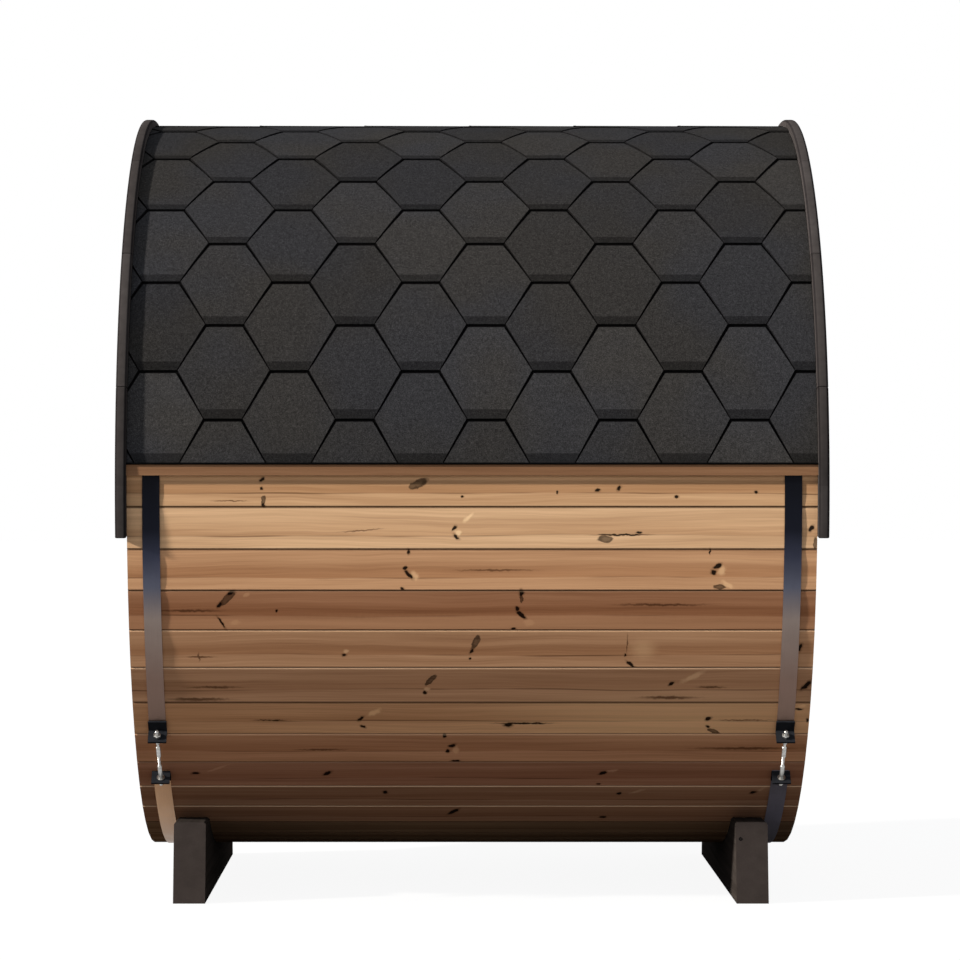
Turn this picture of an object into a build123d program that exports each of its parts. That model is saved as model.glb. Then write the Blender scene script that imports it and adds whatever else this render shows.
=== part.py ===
from build123d import *
import os
from math import asin, ceil, cos, degrees, floor, hypot, radians, sin, tan

# Barrel sauna: hooped bead-and-cove staves lying on two cradles, a shingled roof over the upper half,
# segmented roof-edge boards at both ends and boarded end walls, one of them with a door.
# X runs along the barrel, the side seen in front is -Y, +Z is up, and the origin is on the ground under
# the middle of the barrel. Lengths are in millimetres, and angles in degrees from the level of the axis.

# Fits
joint_gap = 0.3
seat_clearance = 0.3

# Flats that small rounds are cut in
bead_flat_count = 3
rod_flat_count = 12

# Barrel of staves
barrel_radius = 990.0
barrel_length = 1740.0
ground_clearance = 105.0
staves_per_side = 29
stave_thickness = 40.0
stave_edge_ease = 2.5
bead_height = 2.7
bead_width = 18.0
stave_zones = ("crown", "shoulder", "upper_side", "lower_side", "haunch", "floor")

# End walls in their croze grooves
end_wall_inset = 42.0
end_wall_thickness = 40.0
croze_depth = 10.0
boards_over_door_count = 5

# Cradles
cradle_hoop_gap = 6.0
cradle_thickness = 84.0
cradle_height = 210.0
cradle_top_width = 1180.0
cradle_foot_width = 1250.0
cradle_edge_ease = 5.0

# Shingled roof, with its courses laid from the roof edge up
course_exposure = 126.9
first_course_exposure = 116.1
ridge_cap_reach = 90.0
shingle_thickness = 9.0
course_step = 3.0
lath_height = 27.0
lath_thickness = 16.0

# Roof-edge boards at the barrel's ends
fascia_rise = 29.0
fascia_width = 95.0
fascia_thickness = 28.0
fascia_segment_count = 9
fascia_drop_angle = 7.5
fascia_gap = 2.0
fascia_edge_ease = 6.0

# Hoops and the bolts that tighten them
hoop_inset = 61.0
hoop_width = 44.0
hoop_thickness = 2.0
tension_angle = -44.05
tension_half_gap_angle = 4.45
lug_width = 48.0
lug_thickness = 5.0
lug_foot_length = 36.0
lug_height = 40.0
bolt_diameter = 10.0
bolt_height = 22.0
bolt_overhang = 22.0
bolt_hole_clearance = 0.5
nut_across_flats = 17.0
nut_thickness = 8.0

# Door in the end wall at +X
door_width = 620.0
door_head_boards_height = 124.0
door_sill_boards_height = 144.0
door_frame_width = 45.0
door_frame_proud = 10.0
door_clearance = 3.0
door_thickness = 38.0
door_board_count = 5
ledge_height = 110.0
ledge_thickness = 24.0
ledge_end_gap = 30.0
ledge_inset = 160.0
hinge_length = 330.0
hinge_height = 40.0
hinge_thickness = 3.0
hinge_knuckle_diameter = 16.0
handle_length = 320.0
handle_width = 32.0
handle_thickness = 26.0
handle_reach = 50.0
handle_post_height = 44.0
handle_edge_distance = 70.0

# Sizes that follow from the ones above
axis_height = ground_clearance + barrel_radius
stave_pitch_angle = 180.0 / staves_per_side
stave_half_angle = stave_pitch_angle / 2
inner_radius = barrel_radius - stave_thickness
stave_corner_offset = barrel_radius * tan(radians(stave_half_angle)) - stave_edge_ease
stave_corner_radius = hypot(barrel_radius, stave_corner_offset)
croze_radius = inner_radius + croze_depth
end_wall_radius = croze_radius - seat_clearance
end_wall_face = barrel_length / 2 - end_wall_inset
hoop_inner_radius = stave_corner_radius + seat_clearance
hoop_outer_radius = hoop_inner_radius + hoop_thickness
roof_inner_radius = stave_corner_radius + seat_clearance
roof_outer_radius = roof_inner_radius + shingle_thickness
roof_edge_angle = stave_half_angle
hoop_place = barrel_length / 2 - hoop_inset
fascia_outer_radius = barrel_radius + fascia_rise

# Section plane of the barrel: its x is the part's Y, its y is the part's Z, and its normal is the part's X
barrel = Plane(origin=(0, 0, axis_height), x_dir=(0, 1, 0), z_dir=(1, 0, 0))

os.makedirs("parts", exist_ok=True)


def polar(radius, angle):
    """A point of the barrel's section."""
    return (radius * cos(radians(angle)), radius * sin(radians(angle)))


def arc_angle(length, radius):
    """The angle that a length takes up on a circle."""
    return degrees(length / radius)


def save(piece, node):
    """Label a finished piece and write it."""
    piece.part.label = node
    export_step(piece.part, f"parts/{node}.step")


def ring_sector(inner, outer, start, end, low, high):
    """A stretch of ring about the barrel's axis, in the barrel's own section frame, from low to high."""
    with BuildPart() as sector:
        with BuildSketch(Plane.XY.offset(low)):
            with BuildLine():
                CenterArc((0, 0), outer, start, end - start)
                Line(polar(outer, end), polar(inner, end))
                CenterArc((0, 0), inner, end, start - end)
                Line(polar(inner, start), polar(outer, start))
            make_face()
        extrude(amount=high - low)
    return sector


def both_sides(piece, far_node, near_node):
    """Write a far-side piece, and its mirror image on the near side."""
    with BuildPart(barrel) as far_piece:
        add(piece.part)
    save(far_piece, far_node)
    with BuildPart() as near_piece:
        mirror(far_piece.part, about=Plane.XZ)
    save(near_piece, near_node)


# Staves


def joint_point(side, along, proud):
    """A point on a stave's joint: along its radial line, and proud of it on the outside of the stave."""
    angle = radians(side * stave_half_angle)
    return (
        along * cos(angle) - side * proud * sin(angle),
        along * sin(angle) + side * proud * cos(angle),
    )


def joint_edge(side):
    """One joint of a stave from its outer to its inner corner: a bead on one side, a cove on the other."""
    flat = -joint_gap / 2
    half_angle = radians(stave_half_angle)
    outer = (barrel_radius + flat * sin(half_angle)) / cos(half_angle)
    inner = (inner_radius + flat * sin(half_angle)) / cos(half_angle)
    middle = (outer + inner) / 2
    bead_radius = (bead_height**2 + (bead_width / 2) ** 2) / (2 * bead_height)
    bead_half_angle = asin(bead_width / 2 / bead_radius)
    points = [joint_point(side, outer, flat)]
    for step in range(bead_flat_count + 1):
        turn = bead_half_angle * (1 - 2 * step / bead_flat_count)
        rise = bead_height - bead_radius * (1 - cos(turn))
        points.append(joint_point(side, middle + bead_radius * sin(turn), flat + side * rise))
    points.append(joint_point(side, inner, flat))
    return points


bead_edge = joint_edge(1)
cove_edge = joint_edge(-1)

with BuildPart() as stave:
    with BuildSketch(Plane.XY.offset(-barrel_length / 2)) as stave_section:
        with BuildLine():
            Polyline(*bead_edge, *reversed(cove_edge), close=True)
        make_face()
        chamfer(stave_section.vertices().group_by(Axis.X)[-1], length=stave_edge_ease)
    extrude(amount=barrel_length)
    with BuildSketch(
        Plane.XY.offset(end_wall_face - end_wall_thickness - seat_clearance),
        Plane.XY.offset(-end_wall_face - seat_clearance),
    ):
        Rectangle(2 * croze_radius, 2 * croze_radius)
    extrude(amount=end_wall_thickness + 2 * seat_clearance, mode=Mode.SUBTRACT)

for zone_index, zone in enumerate(stave_zones):
    first = round(zone_index * staves_per_side / len(stave_zones))
    last = round((zone_index + 1) * staves_per_side / len(stave_zones))
    count = last - first
    near_start = 90.0 + stave_half_angle + first * stave_pitch_angle
    far_start = 90.0 + stave_half_angle - last * stave_pitch_angle
    for side, start in (("near", near_start), ("far", far_start)):
        with BuildPart(barrel) as stave_group:
            with PolarLocations(0, count, start, count * stave_pitch_angle):
                add(stave.part)
        save(stave_group, f"{side}_{zone}_staves")

# Cradles, hollowed to the round of the barrel

cradle_top = cradle_height - axis_height
cradle_place = hoop_place - hoop_width / 2 - cradle_hoop_gap - cradle_thickness / 2
for end, place in (("door_end", cradle_place), ("back_end", -cradle_place)):
    with BuildPart() as cradle:
        with BuildSketch(barrel.offset(place)):
            with BuildLine():
                Polyline(
                    (-cradle_foot_width / 2, -axis_height),
                    (cradle_foot_width / 2, -axis_height),
                    (cradle_top_width / 2, cradle_top),
                    (-cradle_top_width / 2, cradle_top),
                    close=True,
                )
            make_face()
            Circle(stave_corner_radius + seat_clearance, mode=Mode.SUBTRACT)
        extrude(amount=cradle_thickness / 2, both=True)
        cradle_tops = cradle.faces().filter_by(Axis.Z).sort_by(Axis.Z)[-2:]
        chamfer(cradle_tops.edges().filter_by(Axis.Y), length=cradle_edge_ease)
    save(cradle, f"{end}_cradle")

# Hoops, each an upper and a lower strap with folded lugs and a bolt at both sides

strap_end_angle = tension_angle + tension_half_gap_angle
lower_strap_start = 180.0 - tension_angle + tension_half_gap_angle
lower_strap_end = 360.0 + tension_angle - tension_half_gap_angle
upper_strap = ring_sector(
    hoop_inner_radius,
    hoop_outer_radius,
    strap_end_angle,
    180.0 - strap_end_angle,
    -hoop_width / 2,
    hoop_width / 2,
)
lower_strap = ring_sector(
    hoop_inner_radius,
    hoop_outer_radius,
    lower_strap_start,
    lower_strap_end,
    -hoop_width / 2,
    hoop_width / 2,
)

# One lug, drawn about the middle of the bolt, with the barrel's axis at the origin
foot_inner_radius = hoop_outer_radius + seat_clearance
foot_outer_radius = foot_inner_radius + lug_thickness
foot_end_angle = tension_half_gap_angle + arc_angle(lug_foot_length, foot_inner_radius)
ear_foot = foot_outer_radius * cos(radians(foot_end_angle))
ear_place = foot_inner_radius * sin(radians(tension_half_gap_angle))
ear_top = ear_foot + lug_height
bolt_place = ear_foot + bolt_height
with BuildPart() as upper_lug:
    with BuildSketch(Plane.XY.offset(-lug_width / 2)):
        with BuildLine():
            foot_tip_inner = polar(foot_inner_radius, foot_end_angle)
            foot_tip_outer = polar(foot_outer_radius, foot_end_angle)
            ear_base = polar(foot_inner_radius, tension_half_gap_angle)
            CenterArc((0, 0), foot_inner_radius, tension_half_gap_angle,
                      foot_end_angle - tension_half_gap_angle)
            Polyline(
                foot_tip_inner,
                foot_tip_outer,
                (ear_foot, ear_place + lug_thickness),
                (ear_top, ear_place + lug_thickness),
                (ear_top, ear_place),
                ear_base,
            )
        make_face()
    extrude(amount=lug_width)
    with BuildSketch(Plane.XZ):
        with Locations((bolt_place, 0)):
            RegularPolygon(bolt_diameter / 2 + bolt_hole_clearance, rod_flat_count, major_radius=False)
    extrude(amount=-ear_place - lug_foot_length, mode=Mode.SUBTRACT)

with BuildPart() as lower_lug:
    mirror(upper_lug.part, about=Plane.XZ)

# The bolt runs across the gap, with a nut outside each ear
ear_outside = ear_place + lug_thickness + seat_clearance
bolt_half_length = ear_outside + bolt_overhang
with BuildPart() as bolt:
    with BuildSketch(Plane.XZ.offset(-bolt_half_length)):
        with Locations((bolt_place, 0)):
            RegularPolygon(bolt_diameter / 2, rod_flat_count)
    extrude(amount=2 * bolt_half_length)
    with BuildSketch(Plane.XZ.offset(-ear_outside - nut_thickness), Plane.XZ.offset(ear_outside)):
        with Locations((bolt_place, 0)):
            RegularPolygon(nut_across_flats / 2, 6, major_radius=False)
    extrude(amount=nut_thickness)

for end, place in (("door_end", hoop_place), ("back_end", -hoop_place)):
    with BuildPart(barrel.offset(place)) as upper_hoop:
        add(upper_strap.part)
    save(upper_hoop, f"{end}_upper_hoop")
    with BuildPart(barrel.offset(place)) as lower_hoop:
        add(lower_strap.part)
    save(lower_hoop, f"{end}_lower_hoop")
    for side, angle in (("far", tension_angle), ("near", 180.0 - tension_angle)):
        with BuildPart(barrel.offset(place)) as hoop_lugs:
            with PolarLocations(0, 1, angle):
                add(upper_lug.part)
                add(lower_lug.part)
        save(hoop_lugs, f"{end}_{side}_hoop_lugs")
        with BuildPart(barrel.offset(place)) as hoop_bolt:
            with PolarLocations(0, 1, angle):
                add(bolt.part)
        save(hoop_bolt, f"{end}_{side}_hoop_bolt")

# Roof: stepped courses of shingles, grooved underneath where they lie over the hoops


def course_line(course):
    """The angle of a course's lower edge, counted up from the roof edge."""
    if course == 0:
        return roof_edge_angle
    rise = first_course_exposure + (course - 1) * course_exposure
    return roof_edge_angle + arc_angle(rise, roof_outer_radius)


hoop_groove_low = -hoop_width / 2 - seat_clearance
hoop_groove_width = hoop_width + 2 * seat_clearance


def roof_band(first, last):
    """The far side's courses from one course line to another, with each lower edge standing proud."""
    trim = arc_angle(joint_gap / 2, roof_outer_radius)
    start = course_line(first) + trim
    end = course_line(last) - trim
    with BuildPart() as band:
        with BuildSketch(Plane.XY.offset(-barrel_length / 2)):
            with BuildLine():
                foot = polar(roof_inner_radius, start)
                for course in range(first, last):
                    low = max(course_line(course), start)
                    high = min(course_line(course + 1), end)
                    top_radius = roof_outer_radius - course_step
                    Line(foot, polar(roof_outer_radius, low))
                    Line(polar(roof_outer_radius, low), polar(top_radius, high))
                    foot = polar(top_radius, high)
                Line(foot, polar(roof_inner_radius, end))
                CenterArc((0, 0), roof_inner_radius, end, start - end)
            make_face()
        extrude(amount=barrel_length)
        with BuildSketch(
            Plane.XY.offset(hoop_place + hoop_groove_low),
            Plane.XY.offset(-hoop_place + hoop_groove_low),
        ):
            Circle(hoop_outer_radius + seat_clearance)
        extrude(amount=hoop_groove_width, mode=Mode.SUBTRACT)
    return band


crown_rise = radians(90.0 - roof_edge_angle) * roof_outer_radius
roof_courses = 1 + floor((crown_rise - first_course_exposure - ridge_cap_reach) / course_exposure)
courses_below_break = roof_courses // 2
both_sides(roof_band(0, courses_below_break), "far_lower_roof", "near_lower_roof")
both_sides(roof_band(courses_below_break, roof_courses), "far_upper_roof", "near_upper_roof")

ridge_start = course_line(roof_courses) + arc_angle(joint_gap / 2, roof_outer_radius)
ridge_blank = ring_sector(
    roof_inner_radius,
    roof_outer_radius,
    ridge_start,
    180.0 - ridge_start,
    -barrel_length / 2,
    barrel_length / 2,
)
with BuildPart() as ridge_section:
    add(ridge_blank.part)
    with BuildSketch(
        Plane.XY.offset(hoop_place + hoop_groove_low),
        Plane.XY.offset(-hoop_place + hoop_groove_low),
    ):
        Circle(hoop_outer_radius + seat_clearance)
    extrude(amount=hoop_groove_width, mode=Mode.SUBTRACT)
with BuildPart(barrel) as ridge_roof:
    add(ridge_section.part)
save(ridge_roof, "ridge_roof")

# Lath under each roof edge, notched over the hoops

lath_top = roof_inner_radius * sin(radians(roof_edge_angle)) - seat_clearance
lath_inner = barrel_radius + seat_clearance
with BuildPart() as lath:
    with BuildSketch(Plane.XY.offset(-barrel_length / 2)):
        with Locations((lath_inner, lath_top)):
            Rectangle(lath_thickness, lath_height, align=(Align.MIN, Align.MAX))
    extrude(amount=barrel_length)
    with BuildSketch(
        Plane.XY.offset(hoop_place + hoop_groove_low),
        Plane.XY.offset(-hoop_place + hoop_groove_low),
    ):
        Circle(hoop_outer_radius + seat_clearance)
    extrude(amount=hoop_groove_width, mode=Mode.SUBTRACT)
both_sides(lath, "far_roof_edge_lath", "near_roof_edge_lath")

# Roof-edge boards, sawn to the curve in short segments with eased rims

fascia_sweep = 180.0 + 2 * fascia_drop_angle
fascia_segment_angle = fascia_sweep / fascia_segment_count
fascia_trim = arc_angle(fascia_gap / 2, fascia_outer_radius)
fascia_blank = ring_sector(
    fascia_outer_radius - fascia_width,
    fascia_outer_radius,
    fascia_trim - fascia_segment_angle / 2,
    fascia_segment_angle / 2 - fascia_trim,
    0,
    fascia_thickness,
)
with BuildPart() as fascia_segment:
    add(fascia_blank.part)
    rim_edges = fascia_segment.edges().filter_by(GeomType.CIRCLE).sort_by(SortBy.RADIUS)[-2:]
    chamfer(rim_edges, length=fascia_edge_ease)
fascia_start = fascia_segment_angle / 2 - fascia_drop_angle
fascia_places = (
    ("door_end", barrel_length / 2),
    ("back_end", -barrel_length / 2 - fascia_thickness),
)
for end, place in fascia_places:
    with BuildPart(barrel.offset(place)) as fascia:
        with PolarLocations(0, fascia_segment_count, fascia_start, fascia_sweep):
            add(fascia_segment.part)
    save(fascia, f"{end}_fascia")

# End walls of upright boards, their ends rounded into the croze

frame_side = door_width / 2 + door_frame_width
end_board_width = 2 * frame_side / boards_over_door_count
boards_beside_door_count = ceil((end_wall_radius - frame_side) / end_board_width)
end_board_count = boards_over_door_count + 2 * boards_beside_door_count


def wall_boards(node, face, left, right, bottom, top):
    """The boards of an end wall that lie between four limits of its section."""
    with BuildPart() as boards:
        with BuildSketch(barrel.offset(face)):
            with GridLocations(end_board_width, end_board_width, end_board_count, 1):
                Rectangle(end_board_width - joint_gap, 2 * end_wall_radius)
            Circle(end_wall_radius, mode=Mode.INTERSECT)
            with Locations((left, bottom)):
                Rectangle(right - left, top - bottom, align=Align.MIN, mode=Mode.INTERSECT)
        extrude(amount=-end_wall_thickness)
    save(boards, node)


frame_top = end_wall_radius - door_head_boards_height
frame_bottom = door_sill_boards_height - end_wall_radius
door_height = frame_top - frame_bottom - 2 * door_frame_width
gap_side = frame_side + seat_clearance
gap_top = frame_top + seat_clearance
gap_bottom = frame_bottom - seat_clearance
rim = end_wall_radius
wall_boards("back_wall_boards", -end_wall_face + end_wall_thickness, -rim, rim, -rim, rim)
wall_boards("door_wall_near_boards", end_wall_face, -rim, -gap_side, -rim, rim)
wall_boards("door_wall_far_boards", end_wall_face, gap_side, rim, -rim, rim)
wall_boards("door_wall_head_boards", end_wall_face, -frame_side, frame_side, gap_top, rim)
wall_boards("door_wall_sill_boards", end_wall_face, -frame_side, frame_side, -rim, gap_bottom)

# Door frame, two posts with the head and the sill between them

frame_depth = end_wall_thickness + 2 * door_frame_proud
frame_face = end_wall_face + door_frame_proud
frame_middle = (frame_top + frame_bottom) / 2
with BuildPart() as door_frame:
    with BuildSketch(barrel.offset(frame_face)):
        with Locations((0, frame_middle)):
            with GridLocations(door_width + door_frame_width, frame_top - frame_bottom, 2, 1):
                Rectangle(door_frame_width, frame_top - frame_bottom)
            with GridLocations(door_width, door_height + door_frame_width, 1, 2):
                Rectangle(door_width - 2 * joint_gap, door_frame_width)
    extrude(amount=-frame_depth)
save(door_frame, "door_frame")

# Door of upright boards on two ledges

leaf_width = door_width - 2 * door_clearance
leaf_height = door_height - 2 * door_clearance
leaf_board_width = leaf_width / door_board_count
with BuildPart() as door_leaf:
    with BuildSketch(barrel.offset(frame_face)):
        with Locations((0, frame_middle)):
            with GridLocations(leaf_board_width, leaf_board_width, door_board_count, 1):
                Rectangle(leaf_board_width - joint_gap, leaf_height)
    extrude(amount=-door_thickness)
save(door_leaf, "door_leaf")

ledge_spacing = leaf_height - 2 * ledge_inset
leaf_back = frame_face - door_thickness
with BuildPart() as door_ledges:
    with BuildSketch(barrel.offset(leaf_back)):
        with Locations((0, frame_middle)):
            with GridLocations(leaf_width, ledge_spacing, 1, 2):
                Rectangle(leaf_width - 2 * ledge_end_gap, ledge_height)
    extrude(amount=-ledge_thickness)
save(door_ledges, "door_ledges")

# Strap hinges across the far edge of the door, level with the ledges

hinge_line = door_width / 2 - door_clearance / 2
with BuildPart() as door_hinges:
    with BuildSketch(barrel.offset(frame_face)):
        with Locations((frame_side, frame_middle)):
            with GridLocations(leaf_width, ledge_spacing, 1, 2):
                Rectangle(hinge_length, hinge_height, align=(Align.MAX, Align.CENTER))
    extrude(amount=hinge_thickness)
    knuckle_foot = axis_height + frame_middle - hinge_height / 2
    with BuildSketch(
        Plane.XY.offset(knuckle_foot + ledge_spacing / 2),
        Plane.XY.offset(knuckle_foot - ledge_spacing / 2),
    ):
        with Locations((frame_face + hinge_knuckle_diameter / 2, hinge_line)):
            RegularPolygon(hinge_knuckle_diameter / 2, rod_flat_count)
    extrude(amount=hinge_height)
save(door_hinges, "door_hinges")

# Bar handles on two posts, one on each face of the door

handle_place = handle_edge_distance - leaf_width / 2
post_spacing = handle_length - handle_post_height
with BuildPart() as door_handles:
    for face, way in ((frame_face, 1), (leaf_back, -1)):
        with BuildSketch(barrel.offset(face)):
            with Locations((handle_place, frame_middle)):
                with GridLocations(handle_width, post_spacing, 1, 2):
                    Rectangle(handle_width, handle_post_height)
        extrude(amount=way * handle_reach)
        with BuildSketch(barrel.offset(face + way * (handle_reach - handle_thickness))):
            with Locations((handle_place, frame_middle)):
                Rectangle(handle_width, handle_length)
        extrude(amount=way * handle_thickness)
save(door_handles, "door_handles")
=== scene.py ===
import math
import random

import bmesh
import bpy
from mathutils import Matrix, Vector


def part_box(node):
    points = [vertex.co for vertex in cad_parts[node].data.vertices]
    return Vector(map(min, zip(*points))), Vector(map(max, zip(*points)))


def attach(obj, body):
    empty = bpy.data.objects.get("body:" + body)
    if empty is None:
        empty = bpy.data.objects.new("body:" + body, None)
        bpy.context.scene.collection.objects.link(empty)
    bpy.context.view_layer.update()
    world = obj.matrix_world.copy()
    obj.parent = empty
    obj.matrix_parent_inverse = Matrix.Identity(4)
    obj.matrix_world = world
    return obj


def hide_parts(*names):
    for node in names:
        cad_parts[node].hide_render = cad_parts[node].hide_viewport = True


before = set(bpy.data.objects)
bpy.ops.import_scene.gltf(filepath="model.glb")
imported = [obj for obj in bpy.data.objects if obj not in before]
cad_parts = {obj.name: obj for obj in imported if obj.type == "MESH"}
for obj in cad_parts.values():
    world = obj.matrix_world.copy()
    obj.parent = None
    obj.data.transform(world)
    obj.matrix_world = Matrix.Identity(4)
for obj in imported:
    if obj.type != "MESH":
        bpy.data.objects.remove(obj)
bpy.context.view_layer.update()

# Looks of a barrel sauna: thermo-treated staves, hexagonal bitumen shingles, dark-stained roof-edge boards
# and cradles, steel hoops with bolts, and plank end walls. Lengths are in metres. X runs along the barrel,
# -Y faces the camera, and angles are measured about the barrel's axis, up from its near or far level.

random.seed(7)
MM = 0.001

# Sizes taken from the frame
hoop_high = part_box("door_end_upper_hoop")[1]
HOOP_RADIUS = hoop_high.y
AXIS = hoop_high.z - HOOP_RADIUS
bolt_low, bolt_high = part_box("door_end_far_hoop_bolt")
TENSION_ANGLE = math.atan2((bolt_low.z + bolt_high.z) / 2 - AXIS, (bolt_low.y + bolt_high.y) / 2)
HALF_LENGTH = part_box("near_crown_staves")[1].x
BARREL_RADIUS = -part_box("near_lower_side_staves")[0].y
fascia_low, fascia_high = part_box("door_end_fascia")
FASCIA_RADIUS = fascia_high.y
FASCIA_DROP = math.asin((AXIS - fascia_low.z) / FASCIA_RADIUS)
ROOF_EDGE = math.asin((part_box("near_lower_roof")[0].z - AXIS) / HOOP_RADIUS)
cradle_low, cradle_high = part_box("door_end_cradle")
frame_low, frame_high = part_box("door_frame")
hinge_low, hinge_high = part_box("door_hinges")

# Sizes of the construction that the looks follow
STAVE_PITCH = math.radians(360 / 58)
STAVE_WIDTH = 2 * BARREL_RADIUS * math.tan(STAVE_PITCH / 2)
END_BOARD_WIDTH = (frame_high.y - frame_low.y) / 5
LEAF_BOARD_WIDTH = (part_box("door_leaf")[1].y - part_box("door_leaf")[0].y) / 5
# Plank widths in the grain of single boards
POST_PLANK = 0.09
RAIL_PLANK = 0.16
LATH_PLANK = 0.30


# Node graphs


class Graph:
    """The node tree of a material or world, with a short call for each kind of node that it uses."""

    def __init__(self, owner):
        owner.use_nodes = True
        self.owner = owner
        self.tree = owner.node_tree
        self.shader = self.tree.nodes.get("Principled BSDF")
        self.coordinates = self.add("ShaderNodeTexCoord").outputs
        self.place = self.coordinates["Object"]

    def add(self, kind, inputs=None, **settings):
        """A new node with its settings, and its inputs by name or number."""
        node = self.tree.nodes.new(kind)
        for name, value in settings.items():
            setattr(node, name, value)
        for name, value in (inputs or {}).items():
            self.feed(node.inputs[name], value)
        return node

    def feed(self, socket, value):
        """Link a socket to another node's output, or set it to a plain value."""
        if isinstance(value, bpy.types.NodeSocket):
            self.tree.links.new(value, socket)
        else:
            socket.default_value = value

    def math(self, operation, *values, clamp=False):
        node = self.add("ShaderNodeMath", dict(enumerate(values)), operation=operation, use_clamp=clamp)
        return node.outputs[0]

    def times(self, first, second):
        return self.math("MULTIPLY", first, second)

    def minus(self, first, second):
        return self.math("SUBTRACT", first, second)

    def sum(self, first, *terms):
        """The first value plus each (value, weight) pair."""
        total = first
        for value, weight in terms:
            total = self.math("MULTIPLY_ADD", value, weight, total)
        return total

    def split(self, vector):
        return self.add("ShaderNodeSeparateXYZ", {0: vector}).outputs

    def join(self, x, y, z):
        return self.add("ShaderNodeCombineXYZ", {0: x, 1: y, 2: z}).outputs[0]

    def length(self, vector):
        return self.add("ShaderNodeVectorMath", {0: vector}, operation="LENGTH").outputs["Value"]

    def mapped(self, vector, location, size, tilt=0.0):
        """A vector in the frame of a spot at location, turned by tilt and divided by its size."""
        turn = (0.0, 0.0, math.radians(tilt))
        inputs = {"Vector": vector, "Location": location, "Rotation": turn, "Scale": size}
        return self.add("ShaderNodeMapping", inputs, vector_type="TEXTURE").outputs[0]

    def noise(self, vector, scale=1.0, detail=2.0, roughness=0.5, output="Fac"):
        inputs = {"Vector": vector, "Scale": scale, "Detail": detail, "Roughness": roughness}
        return self.add("ShaderNodeTexNoise", inputs).outputs[output]

    def wobble(self, vector, scale, size):
        """Three random shifts of about half of size either way, for uneven outlines."""
        channels = self.split(self.noise(vector, scale, 3.0, output="Color"))
        return [self.times(self.minus(channel, 0.5), size) for channel in channels]

    def facing(self):
        """How far the surface faces along X, Y and Z, either way."""
        normal = self.split(self.add("ShaderNodeNewGeometry").outputs["Normal"])
        return [self.math("ABSOLUTE", part) for part in normal]

    def chance(self, value):
        """Three numbers between 0 and 1 that look random and depend only on the value."""
        node = self.add("ShaderNodeTexWhiteNoise", {"W": value}, noise_dimensions="1D")
        return self.split(node.outputs["Color"])

    def seen(self):
        """One for rays from the camera, off gloss and through glass, which meet white surroundings."""
        path = self.add("ShaderNodeLightPath").outputs
        either = self.math("MAXIMUM", path["Is Camera Ray"], path["Is Glossy Ray"])
        return self.math("MAXIMUM", either, path["Is Transmission Ray"])

    def span(self, value, low, high, to_low=0.0, to_high=1.0, shape="SMOOTHSTEP"):
        """A step of a value from one range to another, smooth unless the shape says otherwise."""
        inputs = {"Value": value, "From Min": low, "From Max": high, "To Min": to_low, "To Max": to_high}
        return self.add("ShaderNodeMapRange", inputs, interpolation_type=shape).outputs["Result"]

    def ramp(self, value, stops, interpolation="LINEAR"):
        node = self.add("ShaderNodeValToRGB", {0: value})
        node.color_ramp.interpolation = interpolation
        elements = node.color_ramp.elements
        while len(elements) < len(stops):
            elements.new(1.0)
        for element, (position, colour) in zip(elements, stops):
            element.position = position
            element.color = (*colour, 1.0)
        return node.outputs["Color"]

    def pick(self, number, choices, way=1.0):
        """The colour in a list that a number counts to, up from 0 or, with way -1, down from it."""
        count = len(choices)
        key = self.math("DIVIDE", self.sum(0.5, (number, way)), count, clamp=True)
        stops = [(index / count, choice) for index, choice in enumerate(choices)]
        return self.ramp(key, stops, "CONSTANT")

    def mix(self, factor, first, second, blend="MIX"):
        node = self.add("ShaderNodeMix", {0: factor}, data_type="RGBA", blend_type=blend)
        for socket, colour in ((node.inputs[6], first), (node.inputs[7], second)):
            self.feed(socket, (*colour, 1.0) if isinstance(colour, tuple) else colour)
        return node.outputs[2]

    def tint(self, first, second):
        return self.mix(1.0, first, second, "MULTIPLY")

    def grey(self, value):
        """A colour with the same value in each channel."""
        return self.add("ShaderNodeCombineColor", {0: value, 1: value, 2: value}).outputs[0]

    def bump(self, height, strength, distance):
        inputs = {"Height": height, "Strength": strength, "Distance": distance}
        return self.add("ShaderNodeBump", inputs).outputs["Normal"]

    def finish(self, colour, roughness, normal, metallic=0.0, specular=0.5):
        inputs = {"Base Color": colour, "Specular IOR Level": specular, "Roughness": roughness,
                  "Metallic": metallic, "Normal": normal}
        for name, value in inputs.items():
            self.feed(self.shader.inputs[name], value)
        return self.owner


def new_finish(name):
    return Graph(bpy.data.materials.new(name))


# Wood finishes

DULL = 0.12
MATT = 0.0
WOOD_STOPS = (
    (0.15, (0.285, 0.148, 0.074)),
    (0.42, (0.490, 0.282, 0.146)),
    (0.60, (0.600, 0.362, 0.194)),
    (0.88, (0.720, 0.470, 0.270)),
)
KNOT_BROWN = (0.120, 0.058, 0.027)
KNOT_BLACK = (0.010, 0.007, 0.005)
PATCH_BROWN = (0.110, 0.066, 0.036)
PATCH_BLACK = (0.030, 0.018, 0.011)
PALE_WOOD = (0.800, 0.540, 0.290)
PALE_EDGE_HIGHLIGHT = (0.850, 0.600, 0.390)
JOINT_BROWN = (0.050, 0.025, 0.013)
RED_ABOVE_MID_LINE = (0.77, 0.69, 0.63)
END_GRAIN_AND_SHADE = (0.66, 0.60, 0.56)
# Length of plank with one knot in the end walls and door
KNOT_SPACING = 0.46
# How dark the joints between boards are
BOARD_JOINT = 0.8
# Strength and depth of the grain
WOOD_BUMP = (0.20, 0.0012)


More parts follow.
